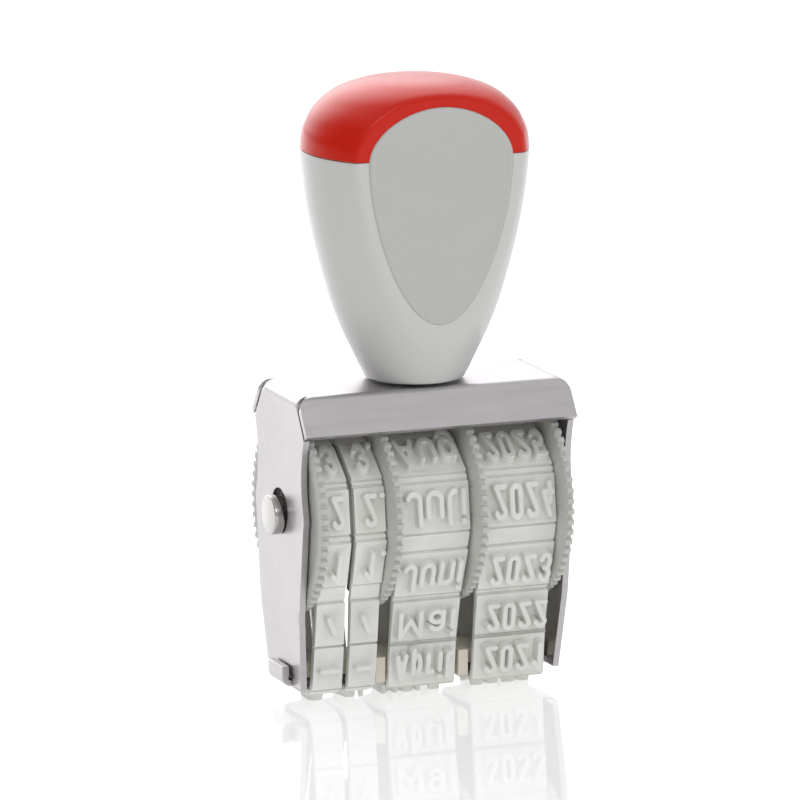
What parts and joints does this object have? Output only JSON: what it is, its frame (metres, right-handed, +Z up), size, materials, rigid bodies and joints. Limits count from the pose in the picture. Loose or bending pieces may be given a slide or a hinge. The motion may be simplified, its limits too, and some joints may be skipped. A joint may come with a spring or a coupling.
{
  "type": "rotary date stamp",
  "caption": "Hand date stamp: rubber type bands on toothed thumb-wheels in a bent steel frame, under a round two-tone handle with flats.",
  "frame": {"origin": "under the middle of the printing type, on the surface that the type prints on", "axes": "+Z up through the handle, +X along the axle from the day wheels to the year wheel, -Y towards the user"},
  "size_m": [0.04, 0.0258, 0.0798],
  "materials": {
    "frame_steel": "satin nickel plate",
    "handle_grey": "semi-gloss moulded plastic",
    "cap_red": "glossy moulded plastic",
    "panel_grey": "fine matte moulded plastic",
    "bright_steel": "bright turned and plated steel",
    "saddle_cream": "plain moulded plastic",
    "wheel_plastic": "plain moulded plastic",
    "type_rubber": "matte moulded rubber"
  },
  "bodies": {
    "stamp": {"frame": "frame_steel", "bridge": "frame_steel", "band_saddle": "saddle_cream", "handle_body": "handle_grey", "handle_cap": "cap_red", "front_panel": "panel_grey", "rear_panel": "panel_grey", "handle_screw": "bright_steel", "handle_washer": "bright_steel", "day_tens_band": "type_rubber", "day_units_band": "type_rubber", "month_band": "type_rubber", "year_band": "type_rubber"},
    "axle": {"axle": "bright_steel"},
    "day_tens_wheel": {"day_tens_wheel": "wheel_plastic"},
    "day_units_wheel": {"day_units_wheel": "wheel_plastic"},
    "month_wheel": {"month_wheel": "wheel_plastic"},
    "year_wheel": {"year_wheel": "wheel_plastic"}
  },
  "joints": [
    {"name": "axle_spin", "type": "hinge", "parent": "stamp", "child": "axle", "pos_m": [0, 0, 0.0244], "axis": [1, 0, 0], "continuous": true},
    {"name": "day_tens_turn", "type": "hinge", "parent": "stamp", "child": "day_tens_wheel", "pos_m": [0, 0, 0.0244], "axis": [1, 0, 0], "continuous": true},
    {"name": "day_units_turn", "type": "hinge", "parent": "stamp", "child": "day_units_wheel", "pos_m": [0, 0, 0.0244], "axis": [1, 0, 0], "continuous": true},
    {"name": "month_turn", "type": "hinge", "parent": "stamp", "child": "month_wheel", "pos_m": [0, 0, 0.0244], "axis": [1, 0, 0], "continuous": true},
    {"name": "year_turn", "type": "hinge", "parent": "stamp", "child": "year_wheel", "pos_m": [0, 0, 0.0244], "axis": [1, 0, 0], "continuous": true}
  ]
}
